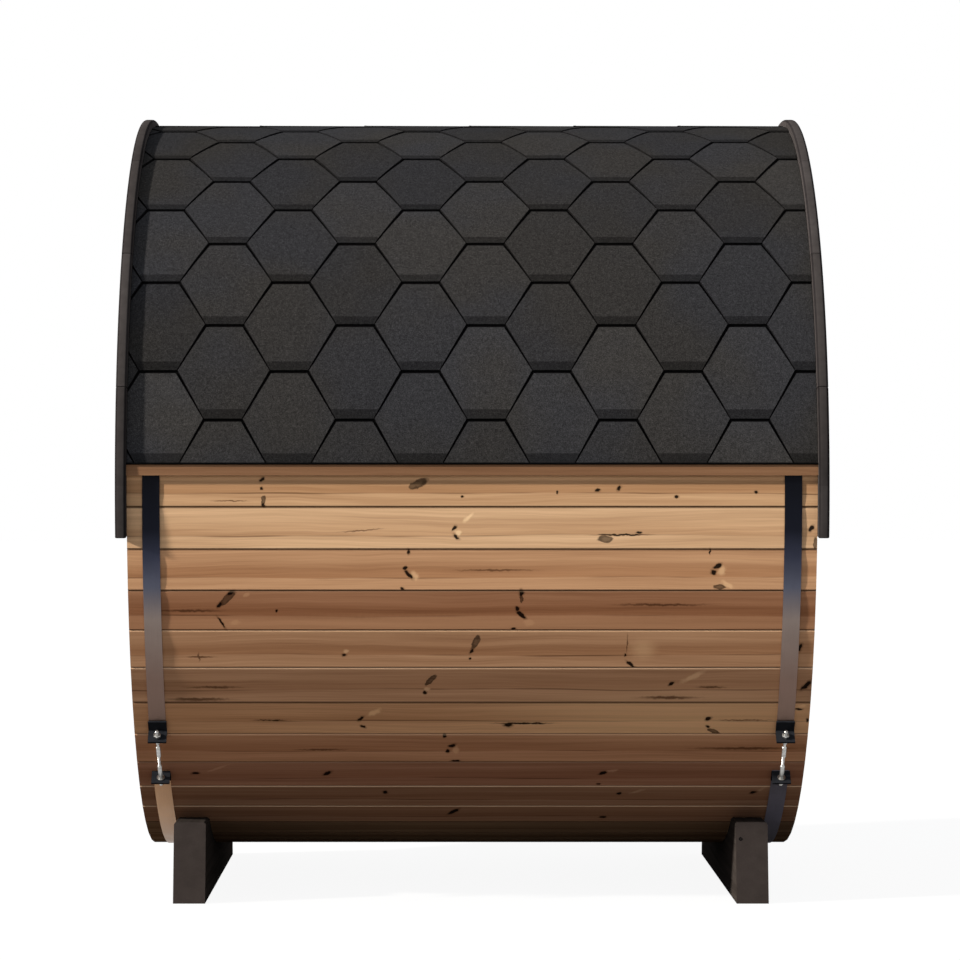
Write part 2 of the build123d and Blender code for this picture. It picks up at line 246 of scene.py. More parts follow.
def grain(graph, along, across, plank):
    """Tone of sawn softwood from 0 to 1, and its fine lines, in the coordinates of one plank."""
    chance = graph.chance(plank)
    shifted = graph.sum(along, (chance[0], 23.0))
    layer = graph.times(plank, 3.71)
    slow = graph.noise(graph.join(graph.times(shifted, 1.4), layer, 0.0), detail=1.0)

    def drawn(line, along_scale, across_scale, detail=2.0):
        place = graph.join(graph.times(shifted, along_scale), graph.times(line, across_scale), layer)
        return graph.noise(place, detail=detail)

    quick = drawn(across, 6.0, 9.0)
    bent = graph.sum(across, (slow, 0.034), (quick, 0.010))
    streaks = drawn(bent, 1.3, 62.0, 3.0)
    lines = drawn(bent, 4.5, 330.0)
    rings = graph.math("SINE", graph.times(graph.sum(bent, (quick, 0.012)), 760.0))
    tone = graph.sum(0.5, (graph.minus(streaks, 0.5), 0.62), (graph.minus(lines, 0.5), 0.26),
                     (rings, 0.012))
    return tone, lines


def wood_roughness(graph, tone):
    """Pale wood is a little smoother than dark wood."""
    return graph.span(tone, 0.2, 0.8, 0.78, 0.62)


# Marks of the staves: stave counted down from the roof edge, percent of its width from its
# top, place along, half length and half height in millimetres, and tilt in degrees where it has one.
# First knots and cracks.
KNOTS = (
    (0, 35, -530, 8, 4, 50), (0, 55, -530, 4, 4), (0, 95, -525, 5, 5), (0, 75, -25, 3, 3),
    (0, 65, 215, 3, 4), (0, 60, 315, 6, 4), (0, 55, 370, 8, 5, 65), (0, 75, 515, 6, 3),
    (0, 65, 715, 5, 4),
    (1, 50, -45, 8, 4, 55), (1, 70, -40, 9, 4, -35), (1, 65, 375, 60, 2), (1, 60, 420, 7, 3),
    (1, 50, 855, 9, 5, 60),
    (2, 5, -160, 4, 7), (2, 45, -170, 5, 5), (2, 60, -160, 15, 5, -50), (2, 95, -175, 6, 3, -25),
    (2, 5, 600, 2, 8), (2, 40, 620, 11, 6, 35), (2, 55, 610, 7, 6, -15),
    (3, 5, -610, 10, 5, 35), (3, 35, -640, 9, 5, 55), (3, 80, -635, 18, 3, -60), (3, 50, -495, 4, 4),
    (3, 5, 125, 6, 9), (3, 45, 115, 6, 6), (3, 60, 125, 15, 5, -40), (3, 95, 105, 7, 3),
    (4, 65, -325, 6, 5), (4, 55, 0, 8, 4, 60), (4, 75, -5, 4, 4), (4, 65, 390, 3, 4),
    (4, 90, 405, 14, 4, -40), (4, 45, 835, 11, 6, 70),
    (5, 70, -120, 5, 5), (5, 45, 510, 8, 4, 40), (5, 50, 855, 18, 6, 50),
    (6, 55, -515, 40, 2), (6, 50, -285, 10, 5, 40), (6, 75, -280, 9, 4, -25), (6, 70, 95, 11, 7),
    (6, 65, 135, 60, 3), (6, 50, 610, 9, 5, 40), (6, 75, 610, 5, 4, -25), (6, 20, 840, 11, 3),
    (6, 55, 865, 4, 6),
    (7, 5, -70, 4, 8), (7, 40, -50, 10, 6, 25), (7, 60, -60, 5, 7), (7, 95, -40, 12, 4),
    (8, 45, -720, 10, 5, 10), (8, 45, -375, 13, 6, 40), (8, 45, 345, 12, 6, 30), (8, 90, 335, 6, 4),
    (9, 30, -225, 6, 8), (9, 35, 390, 7, 6, 20), (9, 30, 745, 10, 6, 30),
    (10, 35, -45, 22, 7, 55), (10, 70, 355, 9, 7),
)
# Brown streaks, overgrown knots, pale wood beside knots, and wide pale areas
STREAKS = (
    (0, 85, -610, 50, 2), (1, 55, -280, 60, 2, 5), (2, 50, 60, 110, 3), (3, 50, -715, 95, 4),
    (3, 35, 480, 130, 4), (4, 70, -695, 3, 14), (4, 70, -690, 40, 3), (4, 35, 395, 2, 32),
    (5, 90, -700, 95, 6), (5, 55, -660, 80, 4), (5, 55, 610, 40, 4), (5, 85, 505, 85, 6),
    (6, 55, 700, 85, 3), (7, 55, -390, 70, 4), (7, 50, 710, 150, 6),
)
PATCHES = (
    (0, 85, -525, 5, 12), (0, 45, -135, 26, 10, 25), (1, 75, 335, 20, 9), (1, 85, 865, 5, 14),
    (2, 90, 625, 15, 7), (3, 20, -620, 30, 9, 45), (3, 20, 125, 5, 12), (4, 30, 10, 22, 9, 65),
    (5, 35, -105, 20, 7, 50), (6, 90, 625, 18, 7, -25),
)
PALE_SPOTS = (
    (1, 60, -35, 9, 7), (1, 25, -10, 18, 6, 45), (2, 65, -145, 14, 11, -40), (2, 50, 630, 11, 14),
    (2, 85, 645, 20, 7, -30), (3, 10, -570, 11, 5, 30), (3, 80, -600, 14, 8), (3, 80, 145, 14, 11),
    (4, 55, -320, 8, 6), (5, 60, -115, 9, 7), (5, 25, 565, 38, 8, 30), (6, 30, -250, 24, 8, 35),
    (6, 10, 850, 12, 5), (7, 55, -40, 9, 16), (8, 25, -660, 38, 5, 30), (8, 35, 370, 16, 6, 15),
    (9, 25, 440, 28, 6, 30), (9, 15, 765, 16, 6, 45),
)
PALE_AREAS = ((3, 85, 0, 1500, 34), (4, 50, 435, 46, 38), (6, 50, 520, 640, 120))
# Tint of each stave with painted shade darkening the lower ones, and its upper edge's painted highlight,
# from the roof edge down
STAVE_TINTS_AND_SHADE = (
    (0.97, 0.97, 0.97), (1.24, 1.31, 1.39), (1.08, 1.00, 0.99), (0.68, 0.54, 0.52), (0.97, 0.88, 0.88),
    (0.84, 0.76, 0.78), (1.20, 1.07, 1.02), (1.00, 0.82, 0.81), (0.71, 0.56, 0.61), (0.63, 0.55, 0.60),
    (0.63, 0.55, 0.60), (0.45, 0.46, 0.50),
)
EDGE_HIGHLIGHT_SHARES = (0.0, 0.0, 0.0, 0.05, 0.20, 0.35, 0.0, 0.25, 0.10, 0.60, 0.60, 0.0)


def spot_distance(graph, place, spots):
    """Distance to the nearest of several spots, measured in their own sizes."""
    nearest = None
    for stave, percent, along, half_length, half_height, *tilt in spots:
        rise = -stave * STAVE_PITCH * BARREL_RADIUS + (0.5 - percent / 100) * STAVE_WIDTH
        size = (half_length * MM, half_height * MM, 1.0)
        distance = graph.length(graph.mapped(place, (along * MM, rise, 0.0), size, *tilt))
        nearest = distance if nearest is None else graph.math("MINIMUM", nearest, distance)
    return nearest


def mid_shadow_line(graph, colour, along, across, plank):
    """A broken dark line along the middle of the plank, a painted shadow line, with redder wood above it."""
    chance = graph.chance(graph.sum(plank, (1.0, 0.37)))
    wander = graph.noise(graph.join(graph.times(along, 1.6), graph.times(plank, 5.3), 0.0))
    from_mid_line = graph.sum(across, (wander, 0.022), (chance[0], 0.016), (1.0, -0.008))
    above = graph.times(graph.span(from_mid_line, -0.002, 0.002), graph.span(from_mid_line, 0.055, 0.010))
    redness = graph.times(above, graph.sum(0.50, (chance[2], 0.50)))
    colour = graph.mix(redness, colour, RED_ABOVE_MID_LINE, "MULTIPLY")
    strength = graph.noise(graph.join(graph.times(along, 3.0), graph.times(plank, 1.9), 4.0))
    line = graph.times(graph.span(graph.math("ABSOLUTE", from_mid_line), 0.0028, 0.0006),
                      graph.span(strength, 0.38, 0.62))
    return graph.mix(graph.times(line, 0.70), colour, KNOT_BROWN)


def add_spots(graph, colour, place, first, last):
    """Pale wood, brown streaks and patches, and black knots and cracks of a group of staves."""
    blotch = graph.minus(graph.noise(graph.place, scale=70.0, detail=2.0), 0.5)

    def mark(colour, spots, fade, strength, paint, uneven=0.0):
        chosen = [spot for spot in spots if first <= spot[0] <= last]
        if not chosen:
            return colour
        distance = graph.sum(spot_distance(graph, place, chosen), (blotch, uneven))
        if isinstance(paint, list):
            paint = graph.mix(graph.span(graph.sum(distance, (blotch, 2.2)), 0.25, 0.95), *paint)
        return graph.mix(graph.span(distance, *fade, 0.0, strength), colour, paint)

    colour = mark(colour, PALE_AREAS, (1.1, 0.1), 0.45, PALE_WOOD)
    colour = mark(colour, PALE_SPOTS, (1.25, 0.35), 0.62, PALE_WOOD, 0.9)
    colour = mark(colour, STREAKS, (1.25, 0.25), 0.88, KNOT_BROWN, 0.4)
    colour = mark(colour, PATCHES, (1.15, 0.85), 0.85, [PATCH_BROWN, PATCH_BLACK], 0.4)
    colour = mark(colour, KNOTS, (1.7, 0.9), 0.50, KNOT_BROWN)
    return mark(colour, KNOTS, (1.10, 0.75), 0.97, KNOT_BLACK)


def stave_wood(name, first, last):
    """A group of staves: each has its own grain and tint, with knots, cracks and dark joints, and painted
    light and shade in the tints, a line along each stave and some edges.
    """
    graph = new_finish(name)
    x, y, z = graph.split(graph.place)
    up = graph.minus(z, AXIS)
    far = graph.math("GREATER_THAN", y, 0.0)
    turned = graph.times(x, graph.sum(1.0, (far, -2.0)))
    angle = graph.math("ARCTAN2", up, graph.math("ABSOLUTE", y))
    steps = graph.math("DIVIDE", angle, STAVE_PITCH)
    stave = graph.math("ROUND", steps)
    plank = graph.sum(stave, (far, 60.0))
    across = graph.times(graph.minus(steps, stave), STAVE_WIDTH)
    tone, lines = grain(graph, turned, across, plank)
    colour = mid_shadow_line(graph, graph.ramp(tone, WOOD_STOPS), turned, across, plank)
    shift = graph.wobble(graph.place, 85.0, 0.012)
    place = graph.join(graph.sum(turned, (shift[0], 1.0)),
                       graph.sum(graph.times(angle, BARREL_RADIUS), (shift[1], 0.7)), 0.0)
    colour = add_spots(graph, colour, place, first, last)
    # Each stave's own tint with painted shade darkening the lower staves, from the roof edge down
    colour = graph.tint(colour, graph.pick(stave, STAVE_TINTS_AND_SHADE, -1.0))
    # Painted light: paler wood in the band under the roof edge, where its shadow falls
    painted_eave_light = graph.span(angle, STAVE_PITCH * 0.10, STAVE_PITCH * 0.18, 0.0, 1.0)
    colour = graph.mix(painted_eave_light, colour, (1.60, 1.60, 1.60), "MULTIPLY")
    # A dark joint between the staves, painted shade over the upper eased edge of staves without a highlight,
    # and a painted highlight on the upper edge of some
    edge = graph.pick(stave, [(share,) * 3 for share in EDGE_HIGHLIGHT_SHARES], -1.0)
    below_top = graph.sum(STAVE_WIDTH / 2, (across, -1.0))
    above_foot = graph.sum(STAVE_WIDTH / 2, (across, 1.0))
    joint_and_shade_top = graph.times(graph.span(below_top, 0.0036, 0.0018, 0.0, 0.75),
                          graph.span(edge, 0.25, 0.0))
    colour = graph.mix(joint_and_shade_top, colour, JOINT_BROWN)
    colour = graph.mix(graph.times(graph.span(below_top, 0.0050, 0.0034), edge), colour, PALE_EDGE_HIGHLIGHT)
    colour = graph.mix(graph.span(above_foot, 0.0054, 0.0022, 0.0, 0.85), colour, JOINT_BROWN)
    # End grain on the ends of the barrel, toned darker partly as painted shade for the key light that falls
    # on the back end
    pith = graph.join(across, graph.sum(graph.length(graph.join(0.0, y, up)), (1.0, -BARREL_RADIUS)), 0.0)
    rings = graph.math("SINE", graph.times(graph.sum(graph.length(pith), (shift[2], 0.6)), 1700.0))
    end_tone = graph.sum(0.34, (rings, 0.10), (shift[0], 30.0))
    end_wood = graph.tint(graph.ramp(end_tone, WOOD_STOPS), END_GRAIN_AND_SHADE)
    colour = graph.mix(graph.span(graph.facing()[0], 0.6, 0.9), colour, end_wood)
    normal = graph.bump(graph.sum(tone, (lines, 0.5)), *WOOD_BUMP)
    return graph.finish(colour, wood_roughness(graph, tone), normal, specular=MATT)


def board_wood(name, along_axis, across_axis, width, tint, joint=0.0):
    """Planks of the same wood, along one axis and side by side across another, with darkened joints."""
    graph = new_finish(name)
    axes = dict(zip("xyz", graph.split(graph.place)))
    along = axes[along_axis]
    steps = graph.math("DIVIDE", axes[across_axis], width)
    plank = graph.math("ROUND", steps)
    across = graph.times(graph.minus(steps, plank), width)
    tone, lines = grain(graph, along, across, graph.sum(plank, (1.0, 17.0)))
    chance = graph.chance(plank)
    colour = graph.ramp(tone, WOOD_STOPS)
    colour = graph.tint(colour, graph.grey(graph.sum(0.80, (chance[0], 0.30))))
    colour = graph.mix(graph.times(chance[1], 0.7), colour, (0.92, 0.80, 0.70), "MULTIPLY")
    colour = graph.tint(colour, tint)
    # One knot in most stretches of each plank
    cells = graph.math("DIVIDE", graph.sum(along, (chance[2], 0.9)), KNOT_SPACING)
    cell = graph.math("FLOOR", cells)
    luck = graph.chance(graph.sum(cell, (plank, 31.7)))
    centre = graph.sum(0.25, (luck[0], 0.5))
    off_along = graph.times(graph.minus(graph.minus(cells, cell), centre), KNOT_SPACING)
    off_across = graph.minus(across, graph.times(graph.sum(-0.5, (luck[1], 1.0)), width * 0.7))
    wobble = graph.minus(graph.noise(graph.place, scale=90.0), 0.5)
    spot = graph.join(graph.sum(off_along, (wobble, 0.010)), graph.sum(off_across, (wobble, 0.006)), 0.0)
    size = graph.span(luck[2], 0.35, 1.0, 0.0002, 0.0105)
    distance = graph.math("DIVIDE", graph.length(graph.mapped(spot, (0, 0, 0), (1.6, 0.9, 1.0), 20)), size)
    colour = graph.mix(graph.span(distance, 1.8, 0.9, 0.0, 0.5), colour, KNOT_BROWN)
    black = graph.span(distance, 1.1, 0.75)
    colour = graph.mix(graph.times(black, 0.85), colour, KNOT_BLACK)
    from_joint = graph.sum(width / 2, (graph.math("ABSOLUTE", across), -1.0))
    colour = graph.mix(graph.span(from_joint, 0.0036, 0.0012, 0.0, joint), colour, JOINT_BROWN)
    height = graph.sum(tone, (lines, 0.5), (black, -1.2))
    return graph.finish(colour, wood_roughness(graph, tone), graph.bump(height, *WOOD_BUMP), specular=DULL)


STAIN_STOPS = (
    (0.20, (0.0200, 0.0166, 0.0156)),
    (0.50, (0.0450, 0.0390, 0.0370)),
    (0.85, (0.0720, 0.0630, 0.0600)),
)
END_STAIN = (0.0410, 0.0325, 0.0290)
# Tone of each roof-edge segment, from the roof edge up to the ridge
FASCIA_TONES = (0.90, 1.00, 1.06, 1.04, 1.12)


def fascia_stain():
    """Dark-stained roof-edge boards: grain along the curve, and painted shade on their rounded edges."""
    graph = new_finish("fascia_wood")
    x, y, z = graph.split(graph.place)
    up = graph.minus(z, AXIS)
    angle = graph.math("ARCTAN2", up, y)
    segments = graph.math("DIVIDE", graph.sum(angle, (1.0, FASCIA_DROP)), FASCIA_SEGMENT)
    segment = graph.math("FLOOR", segments)
    plank = graph.sum(segment, (graph.math("SIGN", x), 20.0))
    tone, lines = grain(graph, angle, graph.length(graph.join(0.0, y, up)), plank)
    colour = graph.ramp(tone, STAIN_STOPS)
    from_edge = graph.math("MINIMUM", segment, graph.sum(FASCIA_SEGMENTS - 1.0, (segment, -1.0)))
    colour = graph.tint(colour, graph.pick(from_edge, [(level,) * 3 for level in FASCIA_TONES]))
    # Painted shade on the rounded edges of the boards
    side = graph.facing()[0]
    painted_edge_shade = graph.times(graph.span(side, 0.15, 0.50), graph.span(side, 0.98, 0.85))
    colour = graph.mix(painted_edge_shade, colour, (0.42, 0.42, 0.44), "MULTIPLY")
    rub = graph.noise(graph.place, scale=60.0, detail=4.0)
    colour = graph.tint(colour, graph.grey(graph.sum(0.75, (rub, 0.5))))
    height = graph.sum(tone, (lines, 0.7))
    normal = graph.bump(height, 0.3, 0.001)
    return graph.finish(colour, graph.span(rub, 0.3, 0.7, 0.70, 0.58), normal, specular=MATT)


def cradle_stain():
    """Dark-stained cradle beams: grain along the beam, and plain sawn ends."""
    graph = new_finish("cradle_wood")
    x, y, z = graph.split(graph.place)
    plank = graph.sum(5.0, (graph.math("SIGN", x), 2.0))
    tone, lines = grain(graph, y, graph.sum(z, (x, 1.0)), plank)
    colour = graph.tint(graph.ramp(tone, STAIN_STOPS), (0.74, 0.70, 0.64))
    fine = graph.noise(graph.join(graph.times(x, 2.0), 0.0, z), scale=260.0, detail=3.0)
    cloud = graph.noise(graph.place, scale=30.0, detail=3.0)
    sawn = graph.tint(END_STAIN, graph.grey(graph.sum(0.50, (fine, 0.5), (cloud, 0.5))))
    colour = graph.mix(graph.span(graph.facing()[1], 0.6, 0.9), colour, sawn)
    normal = graph.bump(graph.sum(fine, (lines, 0.5)), 0.25, 0.0008)
    return graph.finish(colour, 0.70, normal, specular=MATT)


# Roof and metal finishes


def shingle_felt():
    """Slate-grey mineral granules on bitumen, with each shingle's own tone and the painted light and shade
    carried in its tone attribute.
    """
    graph = new_finish("shingle_felt")
    tone = graph.add("ShaderNodeAttribute", attribute_name="tone").outputs["Fac"]
    granules = graph.noise(graph.place, scale=460.0, detail=2.0, roughness=0.7)
    mottle = graph.noise(graph.place, scale=130.0, detail=2.0)
    wash = graph.noise(graph.place, scale=3.0, detail=2.0)
    speckle = graph.ramp(granules, (
        (0.30, (0.0120, 0.0118, 0.0120)),
        (0.52, (0.0270, 0.0265, 0.0268)),
        (0.74, (0.0560, 0.0548, 0.0552)),
    ))
    tint = graph.mix(graph.span(wash, 0.35, 0.65), (1.05, 1.0, 0.93), (0.98, 0.99, 1.05))
    colour = graph.tint(speckle, tint)
    colour = graph.tint(colour, graph.grey(graph.sum(0.55, (mottle, 0.9))))
    colour = graph.tint(colour, graph.grey(tone))
    normal = graph.bump(graph.sum(granules, (mottle, 0.6)), 0.45, 0.0012)
    return graph.finish(colour, 0.92, normal, specular=MATT)


# Lowest and highest angle of a strap's colours, which are painted reflections, in degrees
STRAP_SPAN = (-90.0, 10.0)


def strap_steel(name, stops, metallic=0.75, specular=DULL):
    """Satin strap steel, with colours down the strap from (angle, colour) pairs, which are painted
    reflections.
    """
    graph = new_finish(name)
    x, y, z = graph.split(graph.place)
    up = graph.minus(z, AXIS)
    angle = graph.math("ARCTAN2", up, graph.math("ABSOLUTE", y))
    low, high = (math.radians(limit) for limit in STRAP_SPAN)
    key = graph.math("DIVIDE", graph.sum(-low, (angle, 1.0)), high - low, clamp=True)
    colour = graph.ramp(key, [((math.radians(place) - low) / (high - low), paint) for place, paint in stops])
    brushed = graph.noise(graph.join(graph.times(x, 900.0), graph.times(angle, 14.0), 0.0))
    cloud = graph.noise(graph.place, scale=22.0, detail=4.0)
    colour = graph.tint(colour, graph.grey(graph.sum(0.74, (brushed, 0.22), (cloud, 0.30))))
    roughness = graph.sum(0.30, (cloud, 0.22))
    return graph.finish(colour, roughness, graph.bump(brushed, 0.12, 0.0005), metallic, specular)


# Colours down each strap by angle, painted reflections: upper straps dark near the top and paler lower down,
# lower straps warm at the back end and cool at the door end
UPPER_STRAP_REFLECTION_STOPS = (
    (-44.0, (0.150, 0.095, 0.072)), (-30.0, (0.168, 0.110, 0.088)), (-20.0, (0.205, 0.162, 0.142)),
    (-15.0, (0.080, 0.084, 0.114)), (-10.5, (0.030, 0.033, 0.053)), (-6.5, (0.008, 0.009, 0.015)),
    (4.0, (0.003, 0.003, 0.004)),
)
WARM_STRAP_REFLECTION_STOPS = (
    (-80.0, (0.230, 0.125, 0.060)), (-62.0, (0.390, 0.220, 0.110)), (-50.0, (0.340, 0.185, 0.092)),
)
COOL_STRAP_REFLECTION_STOPS = (
    (-80.0, (0.400, 0.400, 0.470)), (-62.0, (0.240, 0.225, 0.285)), (-50.0, (0.150, 0.142, 0.165)),
)
LUG_BLACK = (0.016, 0.017, 0.020)


def lug_steel():
    """Blackened steel of the hoop lugs."""
    graph = new_finish("lug_steel")
    cloud = graph.noise(graph.place, scale=60.0, detail=4.0)
    colour = graph.tint(LUG_BLACK, graph.grey(graph.sum(0.6, (cloud, 0.8))))
    normal = graph.bump(cloud, 0.1, 0.0004)
    return graph.finish(colour, graph.sum(0.46, (cloud, 0.2)), normal, specular=MATT)


def plain_metal(name, colour, roughness, metallic, wear, specular=0.5):
    """Small metal parts, with worn spots."""
    graph = new_finish(name)
    cloud = graph.noise(graph.place, scale=140.0, detail=4.0)
    shade = graph.mix(graph.span(cloud, 0.40, 0.70, 0.0, 1.0), colour, wear)
    normal = graph.bump(cloud, 0.1, 0.0004)
    return graph.finish(shade, graph.sum(roughness, (cloud, 0.2)), normal, metallic, specular)


# Mesh helpers


def in_scene(name, data):
    thing = bpy.data.objects.new(name, data)
    bpy.context.scene.collection.objects.link(thing)
    return thing


class Shape:
    """Vertices and faces of one piece as they are gathered, with a tone for each face."""

    def __init__(self):
        self.points = []
        self.faces = []
        self.tones = []

    def add(self, points, faces, tone=1.0, flip=False):
        start = len(self.points)
        self.points.extend(points)
        for face in faces:
            indices = [start + index for index in face]
            self.faces.append(indices[::-1] if flip else indices)
            self.tones.append(tone)

    def piece(self, name, material, slot, smooth=False):
        mesh = bpy.data.meshes.new(name)
        mesh.from_pydata([tuple(point) for point in self.points], [], self.faces)
        mesh.attributes.new("tone", "FLOAT", "FACE").data.foreach_set("value", self.tones)
        mesh.materials.append(material)
        mesh.update()
        if smooth:
            mesh.shade_smooth()
            mesh.set_sharp_from_angle(angle=math.radians(35))
        piece = in_scene(name, mesh)
        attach(piece, "root")
        return piece


def loft(shape, rings, tone=1.0, flip=False):
    """Skin a row of closed rings of equal length, and cap both ends."""
    size = len(rings[0])
    points = [point for ring in rings for point in ring]
    faces = []
    for row in range(len(rings) - 1):
        for column in range(size):
            here, after = row * size + column, row * size + (column + 1) % size
            faces.append((here, after, after + size, here + size))
    faces.append(tuple(range(size))[::-1])
    faces.append(tuple(range((len(rings) - 1) * size, len(rings) * size)))
    shape.add(points, faces, tone, flip)


def turns(count):
    """Angles evenly round a circle."""
    return [2 * math.pi * index / count for index in range(count)]


def on_barrel(x, angle, radius, side):
    """A point about the barrel's axis: angle up from the level, on the near (-1) or far (1) side."""
    return Vector((x, side * radius * math.cos(angle), AXIS + radius * math.sin(angle)))


# Shingles

COURSE_ANGLE = math.radians(7.27)
FIRST_COURSE_ANGLE = math.radians(9.75)
COURSE = COURSE_ANGLE * HOOP_RADIUS
COURSES_BELOW_FIRST = 2
COURSES_ABOVE_FIRST = 11
TAB_PITCH = 0.332
TAB_FIRST_PLACE = 0.036
TAB_FOOT_HALF = 0.048
TAB_HALF = 0.1185
TAB_GAP = 0.0021
TAB_HEAD_GAP = 0.0070
TAB_LIP = 0.024
TAB_LIP_LESS = 0.00125
TAB_LIP_DROP = 0.0022
TAB_FOOT_RISE = 0.0068
TAB_HEAD_RISE = 0.0028
TAB_BEVEL = 0.0009
TAB_LIFTS = (-0.0003, 0.0005)
TAB_TILTS = (-0.004, 0.004)
UNDERLAY_RADIUS = HOOP_RADIUS + 0.0004
UNDERLAY_THICKNESS = 0.0008
UNDERLAY_STEPS = 48
TAB_BASE = UNDERLAY_RADIUS + UNDERLAY_THICKNESS
EAVE_STRIP_HEIGHT = 0.0038
EAVE_STRIP_REACH = 0.0195
RIDGE_HALF_ANGLE = math.radians(5.2)
RIDGE_PIECES = 6
RIDGE_LAP = 1.12
RIDGE_STEP = 0.0002
RIDGE_LAP_RISE = 0.0080
RIDGE_TAIL_RISE = 0.0066
RIDGE_STEPS = 8
RIDGE_LIP = 0.006
RIDGE_LIP_PROUD = 0.0005
# Painted light: the lowest rows of tabs made lighter
ROW_LIGHT_TONES = {-2: 1.25, -1: 1.22, 0: 1.12}
TONE_RANGE = (0.86, 1.14)
# Painted shade on the tabs' lower lips, and on the sides of tabs and ridge caps
LIP_SHADE_TONE = 0.58
SIDE_SHADE_TONE = 0.35
UNDERLAY_TONE = 0.12


def clipped(outline, axis, limit, keep_below):
    """The part of a convex outline on one side of a limit."""
    result = []
    for index, point in enumerate(outline):
        last = outline[index - 1]
        inside = (point[axis] <= limit) == keep_below
        last_inside = (last[axis] <= limit) == keep_below
        if inside != last_inside:
            share = (limit - last[axis]) / (point[axis] - last[axis])
            result.append(tuple(last[i] + share * (point[i] - last[i]) for i in (0, 1)))
        if inside:
            result.append(point)
    return result


def tab_mesh(outline, cuts):
    """A slab over an outline in the unrolled roof, bevelled round its top and cut across for bending."""
    mesh = bmesh.new()
    low = [mesh.verts.new((x, s, 0.0)) for x, s in outline]
    high = [mesh.verts.new((x, s, TAB_FOOT_RISE)) for x, s in outline]
    mesh.faces.new(low[::-1])
    top = mesh.faces.new(high)
    for index in range(len(low)):
        mesh.faces.new((low[index - 1], low[index], high[index], high[index - 1]))
    bmesh.ops.bevel(mesh, geom=list(top.edges), offset=TAB_BEVEL, segments=1, affect="EDGES", profile=0.5)
    for cut in cuts:
        geometry = mesh.verts[:] + mesh.edges[:] + mesh.faces[:]
        bmesh.ops.bisect_plane(mesh, geom=geometry, plane_co=(0, cut, 0), plane_no=(0, 1, 0))
    return mesh


def tab_rise(above_foot, lip):
    """Height of a tab's face over the underlay: thick at its lower lip, and thin at its head."""
    share = above_foot / (2 * COURSE)
    rise = TAB_FOOT_RISE + (TAB_HEAD_RISE - TAB_FOOT_RISE) * share
    return rise - TAB_LIP_DROP * max(0.0, 1 - above_foot / lip) if lip else rise


def add_tab(shape, column_place, foot, lip, side, row_light_tone):
    """One hexagonal tab with painted shade on its lower lip and side faces, clipped by the roof's edges, its
    gaps left open.
    """
    bottom, top = foot, foot + 2 * COURSE
    middle = foot + COURSE
    half, head_half = TAB_HALF - TAB_GAP, TAB_FOOT_HALF - TAB_GAP
    outline = [
        (column_place - TAB_FOOT_HALF, bottom), (column_place + TAB_FOOT_HALF, bottom),
        (column_place + half, middle), (column_place + head_half, top - TAB_HEAD_GAP),
        (column_place - head_half, top - TAB_HEAD_GAP), (column_place - half, middle),
    ]
    eave = ROOF_EDGE * HOOP_RADIUS + EAVE_STRIP_HEIGHT
    ridge = (math.pi / 2 - RIDGE_HALF_ANGLE * 0.8) * HOOP_RADIUS
    limits = ((0, HALF_LENGTH, True), (0, -HALF_LENGTH, False), (1, ridge, True), (1, eave, False))
    for axis, limit, keep_below in limits:
        outline = clipped(outline, axis, limit, keep_below)
        if len(outline) < 3:
            return
    foot = max(foot, eave)
    cuts = [foot + lip] + [bottom + COURSE * step / 4 for step in range(1, 8)]
    mesh = tab_mesh(outline, [cut for cut in cuts if cut > foot + MM])
    mesh.normal_update()
    lift = random.uniform(*TAB_LIFTS)
    tilt = random.uniform(*TAB_TILTS)
    tone = row_light_tone * random.uniform(*TONE_RANGE)
    points = []
    for vertex in mesh.verts:
        x, s, height = vertex.co
        face_rise = tab_rise(max(0.0, s - foot), lip) + lift + tilt * (x - column_place)
        rise = face_rise * height / TAB_FOOT_RISE
        points.append(on_barrel(x, s / HOOP_RADIUS, TAB_BASE + rise, side))
    mesh.verts.index_update()
    for face in mesh.faces:
        # Painted shade on the lower lip and on the side faces
        shade = LIP_SHADE_TONE if face.calc_center_median().y < foot + lip else 1.0
        shade = shade if face.normal.z > 0.9 else SIDE_SHADE_TONE
        indices = [len(shape.points) + vertex.index for vertex in face.verts]
        shape.faces.append(indices if side < 0 else indices[::-1])
        shape.tones.append(tone * shade)
    shape.points.extend(points)
    mesh.free()


def arc_slab(shape, x_low, x_high, start, end, inner, outer, side, steps, tone):
    """A curved slab about the barrel's axis; its outer radius may grow from one end in X to the other."""
    outer_low, outer_high = outer if isinstance(outer, tuple) else (outer, outer)
    rings = []
    for step in range(steps + 1):
        angle = start + (end - start) * step / steps
        rings.append([on_barrel(x, angle, radius, side) for x, radius in (
            (x_low, inner), (x_high, inner), (x_high, outer_high), (x_low, outer_low))])
    loft(shape, rings, tone, flip=side > 0)


def roof_side(name, side, nodes, felt):
    """Underlay, eave strip and hexagonal tabs of one side of the roof."""
    shape = Shape()
    arc_slab(shape, -HALF_LENGTH, HALF_LENGTH, ROOF_EDGE, math.pi / 2, UNDERLAY_RADIUS, TAB_BASE, side,
             UNDERLAY_STEPS, UNDERLAY_TONE)
    strip_angle = EAVE_STRIP_HEIGHT / HOOP_RADIUS
    arc_slab(shape, -HALF_LENGTH, HALF_LENGTH, ROOF_EDGE, ROOF_EDGE + strip_angle, TAB_BASE,
             HOOP_RADIUS + EAVE_STRIP_REACH, side, 1, UNDERLAY_TONE)
    columns = range(-4, 4)
    for row in range(-COURSES_BELOW_FIRST, COURSES_ABOVE_FIRST):
        foot = (FIRST_COURSE_ANGLE + row * COURSE_ANGLE) * HOOP_RADIUS
        offset = TAB_PITCH / 2 if row % 2 else 0.0
        lip = TAB_LIP - TAB_LIP_LESS * max(row, 0) if row > -COURSES_BELOW_FIRST else 0.0
        for column in columns:
            place = TAB_FIRST_PLACE + offset + column * TAB_PITCH
            add_tab(shape, place, foot, lip, side, ROW_LIGHT_TONES.get(row, 1.0))
    piece = shape.piece(name, felt, "bitumen_shingle")
    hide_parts(*nodes)


